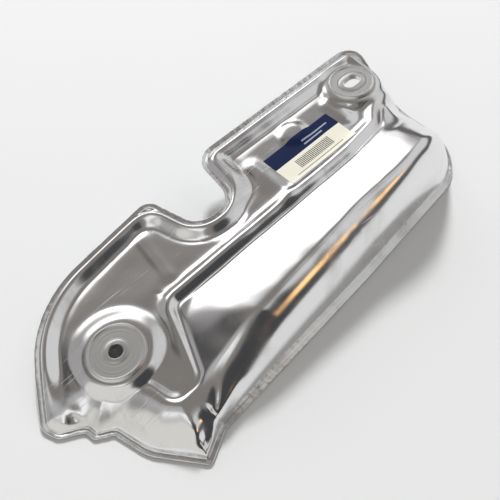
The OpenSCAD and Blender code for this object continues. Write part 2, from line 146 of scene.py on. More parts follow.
# Dome, groove and ridge: heights, widths, and start and run along the sheet where each grows. DOME_SOFT
# rounds the dome's foot, in square millimetres, and RIDGE_LEAST is the part of the ridge before it grows
DOME_H, DOME_RUN, DOME_SOFT, DOME_GROWS = 12, 60, 6, (XL + 38.5, 82)
GROOVE_D, GROOVE_HALF, GROOVE_GROWS = 0.9, 1.8, (XL + 53.5, 10)
RIDGE_H, RIDGE_OFF, RIDGE_INNER, RIDGE_OUTER, RIDGE_GROWS = 3, 6, 4.2, 5.0, (XL + 78.5, 22)
RIDGE_LEAST = 0.1
# The dome is lower round its tall corner, beyond a radius from a place on its crown
CORNER_SINK, CROWN, CORNER_FADE, CORNER_GROWS = 2.5, (80, -22), (18, 34), (80, 20)

# Raised rim: height, widths of its outer flank before and after the notch, its inner flank, and the shallow
# groove at its foot
RIM_H, RIM_OUTER, RIM_WIDENS, RIM_INNER = 4.5, (4.5, 9.5), (2, 18), 10
FOOT_D, FOOT_HALF = 0.5, 2

# Walls: width of the long side's at its low and tall part and where the edge is raised, width of the tall
# end's by the dome and by the plate, and how strongly each is rounded
SIDE_W, SIDE_NARROWS, RAISED_W = (23, 17), (XR - 135, 60), 6
END_W, END_NARROWS = (58, 8.5), (YT - 82, 43)
SIDE_BEND, RAISED_BEND, END_BEND, END_SOFTENS = 1.6, 2, 1.5, 0.45

# Small pressed forms. A flat one has its height, place or ends, flat top and flank, a stroke its height, ends
# and width, and a dent or a pillow its height, middle and width
EMBOSS_H, EMBOSS_AT, EMBOSS_TOP, EMBOSS_FLANK = 2, (68, 48), 6, 7.5
PAD_H, PAD_ENDS, PAD_TOP, PAD_FLANK = 1.2, ((104, 31), (104, 49)), 2, 6
RIBS, PILLOW = [(1.6, (28, 14), (28, 46), 6), (1, (-65, 20), (-62, 54), 5)], (1.7, (131, 18), 6)

# Marks of handling: strokes, dents and folds. A fold has its height, its start, the place where it has faded
# out and its widths on the left and the right
LOW_TIP = (-99.5, -69.5)
EDGE_FOLDS = [
    (3.4, LOW_TIP, (-70, -58), 6.5, 1.6), (1.4, LOW_TIP, (-101.5, -57), 1.3, 1.3),
    (-1.5, (-100.5, -66), (-86, -52), 1.6, 3), (-1.2, (-112, -72.5), (-123, -67), 1.5, 2.5),
    (0.7, (-165, -11.5), (-156, -4.5), 1.4, 4), (0.5, (-158, -9), (-153, -19), 2.6, 1.5),
]
EDGE_STROKE, EDGE_DENT = (-2.6, (-106, -68), (-113.5, -74), 3.6), (-0.6, (-159.5, -12.5), 3.5)
PLATE_FOLD = (-0.4, (-78.5, 15.7), (-72, 7.5), 1.0, 1.0)
STROKES = [(-0.15, (-64, -9), (-36, -7), 2.2), (-0.15, (-36, -7), (-8, -9), 2.2)]
DENTS = [
    (-0.3, (35.5, -44.5), 4), (0.2, (39, -41.5), 4), (-0.3, (-54.2, 54.8), 1.6),
    (-0.25, (-138, -36), 2.5), (-0.25, (-127, -58), 3),
]
# Start and run from the outline over which the edge's marks come in, and the part of a fold before it fades
MARKS_FADE, FOLD_HOLD = (2.5, 4), 0.05

# Thin raised line beside the notch: height, distance from the edge and half width, then start and run where
# it comes in along the sheet, where it goes out, and where it comes in across
LINE_H, LINE_OFF, LINE_HALF = 0.3, 19, 1.2
LINE_STARTS, LINE_ENDS, LINE_ABOVE = (-32, 8), (-4, 8), (2, 4)

# Slow unevenness: seed, shortest and longest wave and their number, and height as a share of the wave
RIPPLE_SEED, RIPPLE_WAVES, RIPPLE_SHARE = 7, (14, 60, 14), 0.0011


def full(t):
    return np.clip(t, 0, 1)


def smooth(t):
    return full(t) ** 2 * (3 - 2 * full(t))


def ease(value, start, run):
    """Goes smoothly from 0 at start to 1 a run further on."""
    return smooth((value - start) / run)


def bulge(t, n):
    """A rounded shoulder from 0 to 1, steep at first and level at the end."""
    return (1 - (1 - t) ** n) ** (1 / n)


def mix(a, b, t):
    return a + (b - a) * t


def bell(t):
    return np.exp(-t * t)


def turn(a, b):
    """Cross product of flat vectors, positive where b lies to the left of a."""
    return a[..., 0] * b[..., 1] - a[..., 1] * b[..., 0]


def dist(p, c):
    return np.linalg.norm(p - np.array(c, float), axis=-1)


def unit(v):
    return v / np.linalg.norm(v, axis=-1, keepdims=True)


def nearest(p, a, b):
    """How points lie to the stretch between two places: share along it, distance, and whether on its left."""
    a, b = np.array(a, float), np.array(b, float)
    along = b - a
    t = full((p - a) @ along / max(along @ along, 1e-9))
    return t, np.linalg.norm(p - a - t[..., None] * along, axis=-1), turn(along, p - a) > 0


def reach(p, a, b):
    """Distance from points to the straight stretch between two places."""
    return nearest(p, a, b)[1]


def fillet(path, i):
    """Fillet at one corner of a path: start, end, centre, radius and turning side."""
    corners = np.array(path, float)
    here, radius = corners[i, :2], corners[i, 2]
    into, away = unit(here - corners[i - 1, :2]), unit(corners[(i + 1) % len(path), :2] - here)
    bend = 1 if turn(into, away) > 0 else -1
    cut = radius * math.tan(math.acos(np.clip(into @ away, -1, 1)) / 2)
    start = here - into * cut
    return start, here + away * cut, start + bend * radius * np.array([-into[1], into[0]]), radius, bend


def fillets(path, closed):
    """Fillets at all corners of a path. The ends of an open path are bare points."""
    arcs = []
    for i, corner in enumerate(path):
        if closed or 0 < i < len(path) - 1:
            arcs.append(fillet(path, i))
        else:
            bare = np.array(corner[:2], float)
            arcs.append((bare, bare, bare, 0, 1))
    return arcs


def side(p, arcs, closed):
    """Signed distance from points to a filleted path, positive on its right side."""
    best = np.full(p.shape[:-1], 1e6)
    for start, end, centre, radius, bend in arcs:
        if radius > 0:
            w = p - centre
            between = (turn(start - centre, w) * bend >= 0) & (turn(w, end - centre) * bend >= 0)
            q = np.where(between, bend * (np.linalg.norm(w, axis=-1) - radius), 1e6)
            best = np.where(np.abs(q) < np.abs(best), q, best)
    for i in range(len(arcs) if closed else len(arcs) - 1):
        _, gap, on_left = nearest(p, arcs[i][1], arcs[(i + 1) % len(arcs)][0])
        best = np.where(gap < np.abs(best), np.where(on_left, -gap, gap), best)
    return best


def with_radius(path, at, radius):
    """The same path with another fillet at one corner."""
    return [(x, y, radius if i == at else r) for i, (x, y, r) in enumerate(path)]


EDGE_ARCS = fillets(OUTLINE, True)
RIM_ARCS = fillets(with_radius(OUTLINE, NOTCH_MOUTH, RIM_MOUTH_R), True)
GROOVE_ARCS = fillets(GROOVE, False)
SWELL_ARCS = fillets(with_radius(GROOVE, DOME_CORNER, DOME_CORNER_R), False)
END_ARCS = fillets([(XR, YB, 0), *OUTLINE[TALL_END:TALL_END + 2]], False)


def plate(p):
    """Height of the bare plate."""
    return (PLATE_Z + math.tan(math.radians(LEAN_LONG)) * p[..., 0]
            - math.tan(math.radians(LEAN_CROSS)) / math.cos(math.radians(LEAN_LONG)) * p[..., 1])


def rise(p):
    """How far the outline has risen from the floor to the raised rim, from 0 to 1."""
    late = ease(p[..., 0], *RISE_TURN)
    start, run = (mix(low, tall, late) for low, tall in zip(LOW_RISE, TALL_RISE))
    return ease(p[..., 1], start, run)


def hem_z(p):
    """Height of the sheet at its edge."""
    return mix(HEM_T, plate(p) + RAISED_LIFT, rise(p))


def seat(p, centre, flat, flank):
    """How fully a boss holds the sheet at its own height."""
    return 1 - ease(dist(p, centre), flat, flank)


def low_flank(p):
    """Width of the lower boss's flank, wide towards the notch and narrow towards the low end."""
    way = (p - np.array(LOWER)) @ np.array(WIDE_WAY) / np.maximum(dist(p, LOWER), 1)
    return mix(*LOWER_FLANK, smooth(0.5 + 0.7 * way))


def dome(p):
    """Height of the dome, its groove and the ridge beside it."""
    x = p[..., 0]
    off = side(p, GROOVE_ARCS, False)
    swell = side(p, SWELL_ARCS, False)
    climb = (swell + np.sqrt(swell * swell + DOME_SOFT)) / 2
    crest = (off + RIDGE_OFF) / np.where(off > -RIDGE_OFF, RIDGE_INNER, RIDGE_OUTER)
    return (DOME_H * ease(x, *DOME_GROWS) * np.sin(np.pi / 2 * np.minimum(1, climb / DOME_RUN))
            - GROOVE_D * bell(off / GROOVE_HALF) * ease(x, *GROOVE_GROWS)
            + RIDGE_H * bell(crest) * mix(RIDGE_LEAST, 1, ease(x, *RIDGE_GROWS)))


def rim(p):
    """Height of the raised rim over the plate."""
    d = np.abs(side(p, RIM_ARCS, True))
    outer = mix(*RIM_OUTER, ease(p[..., 0], *RIM_WIDENS))
    inner = d - outer
    foot = FOOT_D * bell((inner - RIM_INNER) / FOOT_HALF)
    return RIM_H * smooth(d / outer) * (1 - smooth(inner / RIM_INNER)) - foot


def stroke(p, height, a, b, width):
    """A pressed line with rounded flanks between two places."""
    return height * bell(reach(p, a, b) / width)


def dent(p, height, at, width):
    """A round hollow or, where its height is positive, a round swelling."""
    return height * bell(dist(p, at) / width)


def forms(p):
    """Small pressed forms on the plate: an emboss, two ribs, a pad and the pillow at the groove's end."""
    emboss = EMBOSS_H * seat(p, EMBOSS_AT, EMBOSS_TOP, EMBOSS_FLANK)
    pad = PAD_H * (1 - ease(reach(p, *PAD_ENDS), PAD_TOP, PAD_FLANK))
    return emboss + pad + dent(p, *PILLOW) + sum(stroke(p, *row) for row in RIBS)


def fold(p, height, a, b, left, right):
    """A fold from a to b, fading towards b, with its own width on each side."""
    t, gap, on_left = nearest(p, a, b)
    fading = 1 - smooth((1 + FOLD_HOLD) * t - FOLD_HOLD)
    return height * bell(gap / np.where(on_left, left, right)) * fading


def notch_line(p, d):
    """A thin raised line beside the notch, as far from the edge all along."""
    x, y = p[..., 0], p[..., 1]
    shown = ease(x, *LINE_STARTS) * (1 - ease(x, *LINE_ENDS)) * ease(y, *LINE_ABOVE)
    return LINE_H * bell((d - LINE_OFF) / LINE_HALF) * shown


def knocks(p, d):
    """Marks of handling: the crumpled low corner, a dent at the bow, thin lines and dimples."""
    at_edge = sum(fold(p, *row) for row in EDGE_FOLDS) + stroke(p, *EDGE_STROKE) + dent(p, *EDGE_DENT)
    on_plate = sum(stroke(p, *row) for row in STROKES) + sum(dent(p, *row) for row in DENTS)
    return at_edge * ease(d, *MARKS_FADE) + fold(p, *PLATE_FOLD) + on_plate + notch_line(p, d)


def ripples(p):
    """Slow unevenness of the pressed sheet, about a tenth of a millimetre high."""
    x, y = p[..., 0], p[..., 1]
    rng = np.random.default_rng(RIPPLE_SEED)
    total = np.zeros(x.shape)
    for wave in np.geomspace(*RIPPLE_WAVES):
        way, phase = rng.uniform(0, 2 * np.pi, 2)
        along = x * math.cos(way) + y * math.sin(way)
        total += RIPPLE_SHARE * wave * np.sin(2 * np.pi * along / wave + phase)
    return total


def sheet_z(p, d):
    """Height of the sheet's top face at points p, d inside the outline."""
    x, y = p[..., 0], p[..., 1]
    up = rise(p)
    sunk = CORNER_SINK * ease(dist(p, CROWN), *CORNER_FADE) * ease(x, *CORNER_GROWS) * (1 - up)
    roof = plate(p) + dome(p) + up * rim(p) + forms(p) + ripples(p) - sunk
    side_w = mix(mix(*SIDE_W, ease(x, *SIDE_NARROWS)), RAISED_W, up)
    end_w = mix(*END_W, ease(y, *END_NARROWS))
    end = full((np.abs(side(p, END_ARCS, False)) - HEM_W) / end_w)
    shoulder = bulge(full((d - HEM_W) / side_w), mix(SIDE_BEND, RAISED_BEND, up))
    z = mix(hem_z(p), roof, shoulder * mix(bulge(end, END_BEND), smooth(end), END_SOFTENS))
    z = z + knocks(p, d)
    z = mix(z, plate(p) + LOWER_LIFT, seat(p, LOWER, LOWER_D / 2 + SEAT_MARGIN, low_flank(p)))
    return mix(z, plate(p) + UPPER_LIFT, seat(p, UPPER, UPPER_D / 2 + SEAT_MARGIN, UPPER_FLANK))


def inside(p):
    """Distance of points from the outline."""
    return np.abs(side(p, EDGE_ARCS, True))


ARC_STEPS = 48


def arc_points(i, start, stop):
    """Points of the fillet at one corner of the outline, from one step of it to another."""
    a, b, centre, _, bend = EDGE_ARCS[i]
    arm = a - centre
    swing = bend * math.acos(np.clip(unit(arm) @ unit(b - centre), -1, 1))
    angles = swing * np.arange(start, stop + 1) / ARC_STEPS
    return centre + np.stack([arm[0] * np.cos(angles) - arm[1] * np.sin(angles),
                              arm[0] * np.sin(angles) + arm[1] * np.cos(angles)], -1)


def chain(a, b):
    """Points of the outline between the middles of two of its corners."""
    last = b if b > a else b + len(OUTLINE)
    middle = ARC_STEPS // 2
    stretches = [arc_points(i % len(OUTLINE), middle if i == a else 0, middle if i == last else ARC_STEPS)
                 for i in range(a, last + 1)]
    return np.concatenate(stretches)


class Ruler:
    """A path that can be read by its running length."""

    def __init__(self, points):
        self.points = np.array(points, float)
        steps = np.linalg.norm(np.diff(self.points, axis=0), axis=1)
        self.s = np.concatenate([[0], np.cumsum(steps)])
        self.length = self.s[-1]

    def at(self, s):
        return np.stack([np.interp(s, self.s, self.points[:, k]) for k in range(self.points.shape[1])], -1)


# Grid of the sheet: distances of its first lines from the edge, number of lines from there to the seam in
# the middle, and columns before, round and after the notch. Lines crowd towards the seam, and the pull of the
# two ends dies away by its power
NEAR = np.array([0, 0.5, 1, 1.5, 2, 2.5, 3, 3.4, 4, 4.8, 5.7, 6.7, 7.7, 8.8, 10, 11.2, 12.5, 14, 15.5, 17,
                 19, 21, 23.5])
LOW_LINES, TOP_LINES, COLUMNS, SEAM_CROWD, END_PULL = 42, 40, (82, 84, 78), 0.16, 6


def sheet_plan():
    """Plan of a grid that follows the outline: columns along the straight side, rows across."""
    top, low = Ruler(chain(TOP, LEFT)[::-1]), Ruler(chain(LOW, RIGHT))
    left, right = Ruler(chain(LEFT, LOW + len(OUTLINE))[::-1]), Ruler(chain(RIGHT, TOP))
    left_mid, right_mid = 60, 42
    seam = Ruler([left.at(left_mid), (-100, -18), (-76, 2), (-30, 2), (30, 2.5), (83, 4), (116, 10),
                  (130, 19), right.at(right_mid)])
    # Running lengths on the top edge, and those on the seam and on the low edge that they are joined to
    near, notch_start, notch_end = NEAR[-1], 158, 284
    stops = (near, notch_start, notch_end, top.length - near)
    spans = [np.linspace(a, b, count)[1:] for a, b, count in zip(stops, stops[1:], COLUMNS)]
    s = np.concatenate([NEAR, *spans, top.length - NEAR[-2::-1]])
    knots = [0, near, 90, notch_start, notch_end, top.length - near, top.length]
    to_seam = np.interp(s, knots, [0, 22, 55, 102, 165, seam.length - 22, seam.length])
    to_low = np.interp(s, knots, [0, 18, 52, 80, 142, low.length - 20, low.length])
    u = s / top.length

    def half(edge, edge_s, lines, end_0, end_1, whole_0, whole_1):
        """Lines of one half, from the edge to the seam, drawn to meet the two end edges."""
        a, b = edge.at(edge_s), seam.at(to_seam)
        span = np.linalg.norm(b - a, axis=1)
        made = []
        for j in range(len(NEAR) + lines + 1):
            if j < len(NEAR):
                t, t0, t1 = NEAR[j] / span, NEAR[j] / whole_0, NEAR[j] / whole_1
            else:
                share = (j - len(NEAR) + 1) / (lines + 1)
                share = share + SEAM_CROWD * np.sin(np.pi * share)
                t, t0, t1 = (mix(near / k, 1, share) for k in (span, whole_0, whole_1))
            line = a + (b - a) * np.reshape(t, (-1, 1))
            gap_0 = end_0(t0) - (a[0] + (b[0] - a[0]) * t0)
            gap_1 = end_1(t1) - (a[-1] + (b[-1] - a[-1]) * t1)
            pull_0, pull_1 = ((w ** END_PULL)[:, None] for w in (1 - u, u))
            made.append(line + pull_0 * gap_0 + pull_1 * gap_1)
        return made

    left_over, right_over = left.length - left_mid, right.length - right_mid
    under = half(low, to_low, LOW_LINES, lambda t: left.at(t * left_mid), lambda t: right.at(t * right_mid),
                 left_mid, right_mid)
    over = half(top, s, TOP_LINES, lambda t: left.at(left.length - t * left_over),
                lambda t: right.at(right.length - t * right_over), left_over, right_over)
    return np.stack(under + over[-2::-1], axis=1)


def grid_normals(face):
    return unit(np.cross(np.gradient(face, axis=0), np.gradient(face, axis=1)))


def quads(cols, rows, offset=0, flip=False):
    """Faces of a grid of points."""
    i, j = np.meshgrid(np.arange(cols - 1), np.arange(rows - 1), indexing="ij")
    a = (i * rows + j + offset).ravel()
    faces = np.stack([a, a + rows, a + rows + 1, a + 1], -1)
    return faces[:, ::-1] if flip else faces


def slab_faces(cols, rows):
    """Faces of a slab made of two grids of points, the upper one first, with walls round its edge."""
    count = cols * rows
    ring = np.concatenate([np.arange(cols - 1) * rows, (cols - 1) * rows + np.arange(rows - 1),
                           np.arange(cols - 1, 0, -1) * rows + rows - 1, np.arange(rows - 1, 0, -1)])
    after = np.roll(ring, -1)
    walls = np.stack([ring, ring + count, after + count, after], -1)
    return np.concatenate([quads(cols, rows), quads(cols, rows, count, True), walls])


def new_object(name, verts, faces, material, smooth_faces=True):
    """A mesh object from points in millimetres."""
    mesh = bpy.data.meshes.new(name)
    places = [tuple(v) for v in np.asarray(verts) * MM]
    mesh.from_pydata(places, [], [tuple(int(k) for k in face) for face in faces])
    mesh.validate()
    mesh.materials.append(material)
    mesh.polygons.foreach_set("use_smooth", [smooth_faces] * len(mesh.polygons))
    obj = bpy.data.objects.new(name, mesh)
    bpy.context.scene.collection.objects.link(obj)
    return obj


def baked(obj, name):
    """The evaluated object as a plain mesh, with its modifiers removed."""
    bpy.context.view_layer.update()
    mesh = bpy.data.meshes.new_from_object(obj.evaluated_get(bpy.context.evaluated_depsgraph_get()))
    mesh.name = name
    obj.modifiers.clear()
    result = bpy.data.objects.new(name, mesh)
    bpy.context.scene.collection.objects.link(result)
    bpy.data.objects.remove(obj)
    return result


def finish_piece(obj, node):
    """Puts a finished piece on the part's only body and in place of its solid."""
    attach(obj, "root")
    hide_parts(node)


def on_seat(points, centre, lift):
    """Moves points from a fixing's own frame to its tilted place on the plate."""
    at = np.array([centre[0], centre[1], plate(np.array(centre, float)) + lift])
    tilt = (Matrix.Rotation(math.radians(-LEAN_LONG), 3, "Y")
            @ Matrix.Rotation(math.radians(-LEAN_CROSS), 3, "X"))
    return np.asarray(points) @ np.array(tilt).T + at


def feed(tree, node, inputs):
    """Links a node's inputs to sockets or sets them to plain values."""
    for name, value in inputs.items():
        if isinstance(value, bpy.types.NodeSocket):
            tree.links.new(value, node.inputs[name])
        else:
            node.inputs[name].default_value = value


def wire(tree, kind, inputs, **settings):
    """A new node with its settings and inputs."""
    node = tree.nodes.new(kind)
    for name, value in settings.items():
        setattr(node, name, value)
    feed(tree, node, inputs)
    return node


def new_tree(name, kind, inputs, outputs):
    """An empty node tree with named sockets, and its input and output nodes."""
    tree = bpy.data.node_groups.new(name, kind)
    for label, socket_kind, default in inputs:
        socket = tree.interface.new_socket(label, in_out="INPUT", socket_type="NodeSocket" + socket_kind)
        if default is not None:
            socket.default_value = default
    for label, socket_kind in outputs:
        tree.interface.new_socket(label, in_out="OUTPUT", socket_type="NodeSocket" + socket_kind)
    return tree, tree.nodes.new("NodeGroupInput"), tree.nodes.new("NodeGroupOutput")


def noise(tree, vector, scale, detail=2.0, rough=0.5, distortion=0.0):
    return wire(tree, "ShaderNodeTexNoise", {
        "Vector": vector, "Scale": scale, "Detail": detail, "Roughness": rough,
        "Distortion": distortion}).outputs["Fac"]


def ramp(tree, value, low, high, out_low=0.0, out_high=1.0):
    """Takes a value smoothly from one range to another."""
    inputs = {"Value": value, "From Min": low, "From Max": high, "To Min": out_low, "To Max": out_high}
    return wire(tree, "ShaderNodeMapRange", inputs, interpolation_type="SMOOTHSTEP").outputs["Result"]


def maths(tree, operation, *values):
    """Maths on sockets and numbers: one value, or two or more taken in order."""
    result = values[0]
    for other in values[1:] or (None,):
        inputs = {0: result} if other is None else {0: result, 1: other}
        result = wire(tree, "ShaderNodeMath", inputs, operation=operation).outputs[0]
    return result


def paint(tree, mask, below, above):
    """Colour that goes from one to another by a mask, each a socket or a plain colour."""
    below, above = (c if isinstance(c, bpy.types.NodeSocket) else (*c, 1) for c in (below, above))
    return wire(tree, "ShaderNodeMix", {"Factor": mask, 6: below, 7: above}, data_type="RGBA").outputs[2]


def new_material(name):
    material = bpy.data.materials.new(name)
    material.use_nodes = True
    return material, material.node_tree, material.node_tree.nodes["Principled BSDF"]


# Marks on bare metal. A noise has its scale, detail, roughness and distortion, and the range of it that
# shows. A scratch has its angle in degrees and its scale along and across
SMEAR_NOISE, SMEAR_SHOWS = (28, 5, 0.62, 0.6), (0.47, 0.74)
PATCH_NOISE, PATCH_SHOWS = (16, 3, 0.5), (0.45, 0.62)
GRAIN_NOISE, SCRATCH_SHOWS = (900, 3, 0.6), (0.66, 0.76)
SCRATCHES = ((24, (18, 900, 18)), (-51, (30, 1300, 30)), (78, (14, 1100, 14)))
SMEAR_DULLS, SCRATCH_DULLS, GRAIN_DULLS, SMEAR_STAINS = 0.12, 0.16, 0.03, 0.55
GRAIN_HEIGHT, SCRATCH_HEIGHT, BUMP_DEPTH = 0.25, -0.5, 0.0002


def scuff_group():
    """Handling marks on bare metal: scratches, smears, stains and a fine grain."""
    tree, start, end = new_tree(
        "Scuffed metal", "ShaderNodeTree",
        [("Vector", "Vector", (0, 0, 0)), ("Smears", "Float", 1.0), ("Scratches", "Float", 1.0),
         ("Base roughness", "Float", 0.15), ("Bright", "Color", (0.85, 0.85, 0.86, 1)),
         ("Dull", "Color", (0.6, 0.58, 0.56, 1))],
        [("Color", "Color"), ("Roughness", "Float"), ("Height", "Float")])
    vector = start.outputs["Vector"]
    smear = ramp(tree, noise(tree, vector, *SMEAR_NOISE), *SMEAR_SHOWS)
    smear = maths(tree, "MULTIPLY", smear, start.outputs["Smears"])
    grain = noise(tree, vector, *GRAIN_NOISE)
    streaks = []
    for angle, scale in SCRATCHES:
        turned = wire(tree, "ShaderNodeMapping", {
            "Vector": vector, "Scale": scale, "Rotation": (0, 0, math.radians(angle))}).outputs["Vector"]
        streaks.append(ramp(tree, noise(tree, turned, 1), *SCRATCH_SHOWS))
    patch = ramp(tree, noise(tree, vector, *PATCH_NOISE), *PATCH_SHOWS)
    lines = maths(tree, "MULTIPLY", maths(tree, "MAXIMUM", *streaks), patch, start.outputs["Scratches"])
    feed(tree, end, {
        "Color": paint(tree, maths(tree, "MULTIPLY", smear, SMEAR_STAINS),
                       start.outputs["Bright"], start.outputs["Dull"]),
        "Roughness": maths(tree, "ADD", start.outputs["Base roughness"],
                           maths(tree, "MULTIPLY", smear, SMEAR_DULLS),
                           maths(tree, "MULTIPLY", lines, SCRATCH_DULLS),
                           maths(tree, "MULTIPLY", grain, GRAIN_DULLS)),
        "Height": maths(tree, "ADD", maths(tree, "MULTIPLY", grain, GRAIN_HEIGHT),
                        maths(tree, "MULTIPLY", lines, SCRATCH_HEIGHT))})
    return tree


def metal(name, bright, dull, roughness, smears, scratches, bump):
    """A bare metal whose colour, roughness and grain vary over the surface."""
    material, tree, shader = new_material(name)
    place = tree.nodes.new("ShaderNodeTexCoord")
    marks = wire(tree, "ShaderNodeGroup", {
        "Vector": place.outputs["Object"], "Smears": smears, "Scratches": scratches,
        "Base roughness": roughness, "Bright": (*bright, 1), "Dull": (*dull, 1),
    }, node_tree=bpy.data.node_groups.get("Scuffed metal") or scuff_group())
    relief = wire(tree, "ShaderNodeBump", {
        "Strength": bump, "Distance": BUMP_DEPTH, "Height": marks.outputs["Height"]})
    feed(tree, shader, {
        "Metallic": 1.0, "Base Color": marks.outputs["Color"], "Roughness": marks.outputs["Roughness"],
        "Normal": relief.outputs["Normal"]})
    return material


SHEET_STAIN, HEM_STAIN = (0.62, 0.6, 0.58), (0.4, 0.4, 0.4)
WASHER_STAIN, EYELET_STAIN = (0.55, 0.54, 0.53), (0.58, 0.57, 0.56)


def colour_setting(name, description, default):
    return bpy.props.FloatVectorProperty(
        name=name, description=description, subtype="COLOR", size=3, min=0, max=1, default=default)


class ShieldSettings(bpy.types.PropertyGroup):
    """Sizes and colours of the heat shield that can be changed before it is made"""
    sheet_colour: colour_setting("Sheet colour", "Colour of the bright aluminium sheet", (0.86, 0.86, 0.87))
    sheet_roughness: bpy.props.FloatProperty(
        name="Sheet roughness", description="How dull the sheet is between its smears",
        subtype="FACTOR", min=0.02, max=0.6, default=0.12)
    hem_width: bpy.props.FloatProperty(
        name="Hem width", description="Width of the rolled hem before it leans", unit="LENGTH",
        min=1.5 * MM, max=4 * MM, default=3.1 * MM)
    hem_thickness: bpy.props.FloatProperty(
        name="Hem thickness", description="Thickness of the rolled hem", unit="LENGTH",
        min=1.0 * MM, max=2 * MM, default=1.5 * MM)
    hem_colour: colour_setting("Hem colour", "Colour of the folded edge", (0.84, 0.84, 0.84))
    washer_colour: colour_setting("Washer colour", "Colour of the plated washers", (0.76, 0.76, 0.75))
    eyelet_colour: colour_setting("Eyelet colour", "Colour of the clinched eyelets", (0.78, 0.78, 0.77))
    paper_colour: colour_setting("Paper colour", "Colour of the label's paper", (0.83, 0.81, 0.7))
    band_colour: colour_setting("Band colour", "Colour of the label's printed band", (0.004, 0.013, 0.06))


class SHIELD_OT_sheet(bpy.types.Operator):
    """Make the pressed sheet with its dome, rim, notch and bosses"""
    bl_idname = "shield.sheet"
    bl_label = "Pressed sheet"

    def execute(self, context):
        settings = context.scene.heat_shield
        plan = sheet_plan()
        d = inside(plan)
        d[[0, -1], :] = 0
        d[:, [0, -1]] = 0
        top = np.concatenate([plan, sheet_z(plan, d)[..., None]], -1)
        top[..., 2] -= EDGE_TUCK * (1 - ease(d, *TUCK_FADE))
        bottom = top - SHEET_T * grid_normals(top)
        skin = metal("Bright aluminium", settings.sheet_colour, SHEET_STAIN, settings.sheet_roughness,
                     smears=1.0, scratches=1.0, bump=0.25)
        blank = new_object("sheet_blank", np.concatenate([top.reshape(-1, 3), bottom.reshape(-1, 3)]),
                           slab_faces(*plan.shape[:2]), skin)
        holes = [self.punch(blank, LOWER, LOWER_LIFT, 0, skin),
                 self.punch(blank, UPPER, UPPER_LIFT, SLOT_TRAVEL, skin)]
        sheet = baked(blank, "pressed_sheet")
        for hole in holes:
            bpy.data.objects.remove(hole)
        finish_piece(sheet, "shield")
        return {"FINISHED"}

    def punch(self, blank, centre, lift, travel, material):
        """Cuts one bore or slot out of the blank, and gives back the punch."""
        outline = stadium(CLEAR_R, travel, PUNCH_POINTS)
        ends = [with_z(outline, z) for z in (-PUNCH_REACH, PUNCH_REACH)]
        verts = on_seat(np.concatenate(ends), centre, lift)
        n = len(outline)
        k = np.arange(n)
        caps = [list(range(n))[::-1], list(range(n, 2 * n))]
        sides = np.stack([k, (k + 1) % n, (k + 1) % n + n, k + n], -1).tolist()
        hole = new_object("hole", verts, caps + sides, material)
        cut = blank.modifiers.new("hole", "BOOLEAN")
        cut.operation, cut.solver, cut.object = "DIFFERENCE", "EXACT", hole
        return hole


def stadium(radius, travel, count):
    """Points of a straight slot's outline, or of a circle where travel is 0, turning left."""
    angles = 2 * np.pi * (np.arange(count) + 0.5) / count
    points = radius * np.stack([np.cos(angles), np.sin(angles)], -1)
    points[:, 0] += np.sign(points[:, 0]) * travel / 2
    return points


def with_z(points, z):
    return np.concatenate([points, np.full((len(points), 1), float(z))], 1)


def lathe(name, profile, travel_of, centre, lift, material):
    """A closed ring through profile points (radius, z), each ring round or slotted by its travel."""
    rings = [with_z(stadium(r, travel_of(r), RING_POINTS), z) for r, z in profile]
    faces = []
    for i in range(len(rings)):
        here, above = i * RING_POINTS, (i + 1) % len(rings) * RING_POINTS
        for k in range(RING_POINTS):
            after = (k + 1) % RING_POINTS
            faces.append((here + k, here + after, above + after, above + k))
    obj = new_object(name, on_seat(np.concatenate(rings), centre, lift), faces, material)
    mesh = bmesh.new()
    mesh.from_mesh(obj.data)
    bmesh.ops.recalc_face_normals(mesh, faces=mesh.faces)
    mesh.to_mesh(obj.data)
    mesh.free()
    return obj


def washer_profile(d, face):
    """Rings of a washer from its bore, over its face to its raised bead and back underneath."""
    r, bore = d / 2, CLEAR_R
    top = [(bore, 0.1), (bore, WASHER_T - 0.12), (bore + 0.12, WASHER_T), (bore + 0.4, WASHER_T)]
    circles = [(bore + BORE_CIRCLE[0], BORE_CIRCLE[1]), *((r - off, depth) for off, depth in EDGE_CIRCLES)]
    for at, depth in circles:
        top += [(at - CIRCLE_HALF, WASHER_T), (at - CIRCLE_FLOOR, WASHER_T - depth),
                (at + CIRCLE_FLOOR, WASHER_T - depth), (at + CIRCLE_HALF, WASHER_T)]
    top += [(r - 2.9, WASHER_T), (r - 2.5, WASHER_T), (r - 2.3, WASHER_T + 0.05)]
    for a in np.radians(np.linspace(0, 180, 11)):
        half, drop = (BEAD_HALF_OUT, BEAD_DROP) if a > np.pi / 2 else (BEAD_HALF_IN, 0)
        top.append((r - BEAD_IN - half * math.cos(a), WASHER_T + (BEAD_H + drop) * math.sin(a) - drop))
    top += [(r - 0.15, WASHER_T - 0.45), (r, WASHER_T - 0.6), (r, 0.35), (r - 0.12, 0.12), (r - 0.35, 0.0),
            (bore + 0.1, 0.0)]
    return [(a, face * (b + SEAT_GAP) - (SHEET_T if face < 0 else 0)) for a, b in top]


def eyelet_profile():
    """Rings of an eyelet: its bore, and a rolled lip over each washer."""
    r, grip = BORE_D / 2, SHEET_T / 2 + WASHER_T + 2 * SEAT_GAP
    out, crown = r + EYELET_WALL, grip + LIP_T
    lip = [(r, grip - 0.3), (r, crown - EYELET_ROLL)]
    for a in np.radians((30, 60, 90)):
        lip.append((r + EYELET_ROLL * (1 - math.cos(a)), crown - EYELET_ROLL * (1 - math.sin(a))))
    lip += [(r + 0.8, crown), (out + 0.6 * LIP_W, grip + 0.8 * LIP_T),
            (out + 0.9 * LIP_W, grip + 0.45 * LIP_T), (out + LIP_W, grip + 0.1),
            (out + LIP_W - 0.1, grip), (out, grip)]
    return [(x, z - SHEET_T / 2) for x, z in lip + [(x, -z) for x, z in reversed(lip)]]


